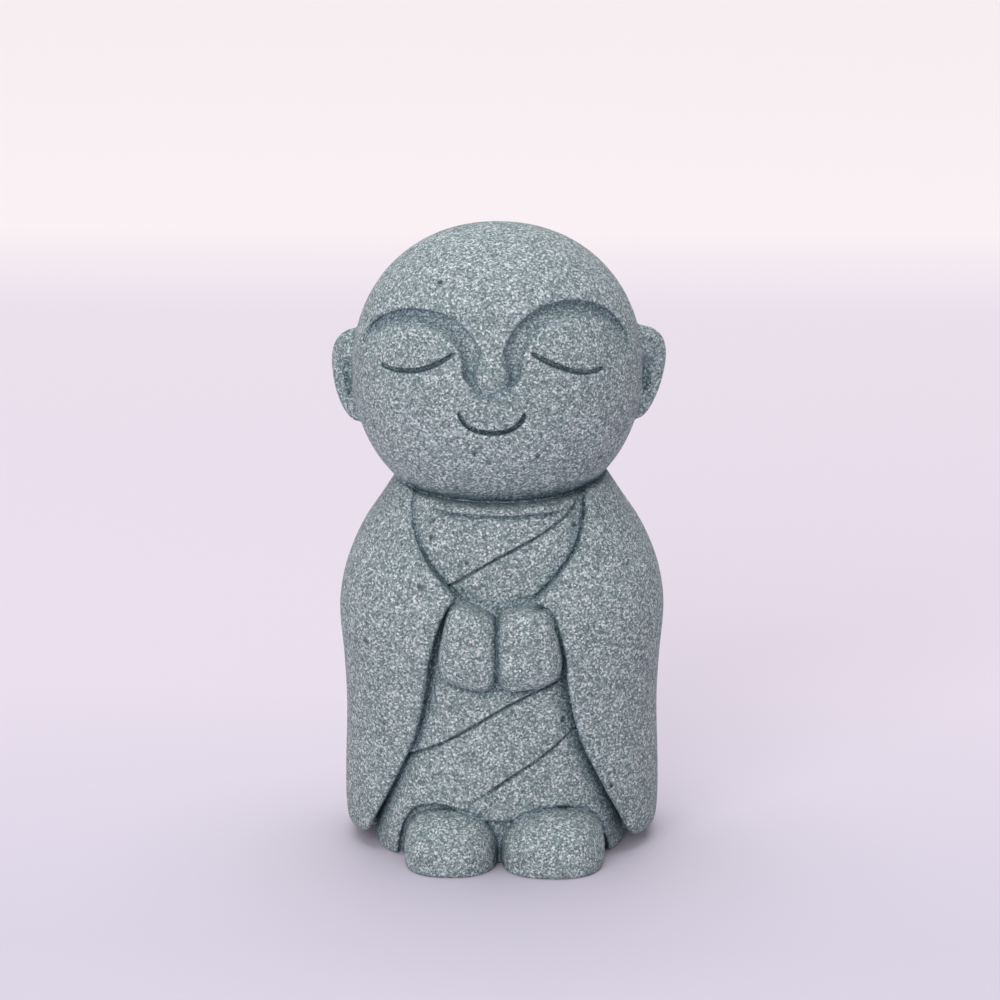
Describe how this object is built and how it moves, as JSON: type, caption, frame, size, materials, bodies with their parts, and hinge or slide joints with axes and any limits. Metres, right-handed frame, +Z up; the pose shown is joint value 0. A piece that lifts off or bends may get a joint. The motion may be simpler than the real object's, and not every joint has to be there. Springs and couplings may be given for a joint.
{
  "type": "jizo statue",
  "caption": "Small standing jizo figurine of grey-green cast stone, with closed eyes, a smile, joined hands and long sleeves.",
  "frame": {"origin": "on the ground, under the middle of the figure's bounding box", "axes": "+Z up the figure, face towards -Y, +X towards the figure's left hand"},
  "size_m": [0.0346, 0.0304, 0.065],
  "materials": {
    "cast_stone": "matt, fine sandy grain of pale, grey and dark green specks"
  },
  "bodies": {
    "root": {"jizo_figure": "cast_stone"}
  },
  "joints": []
}
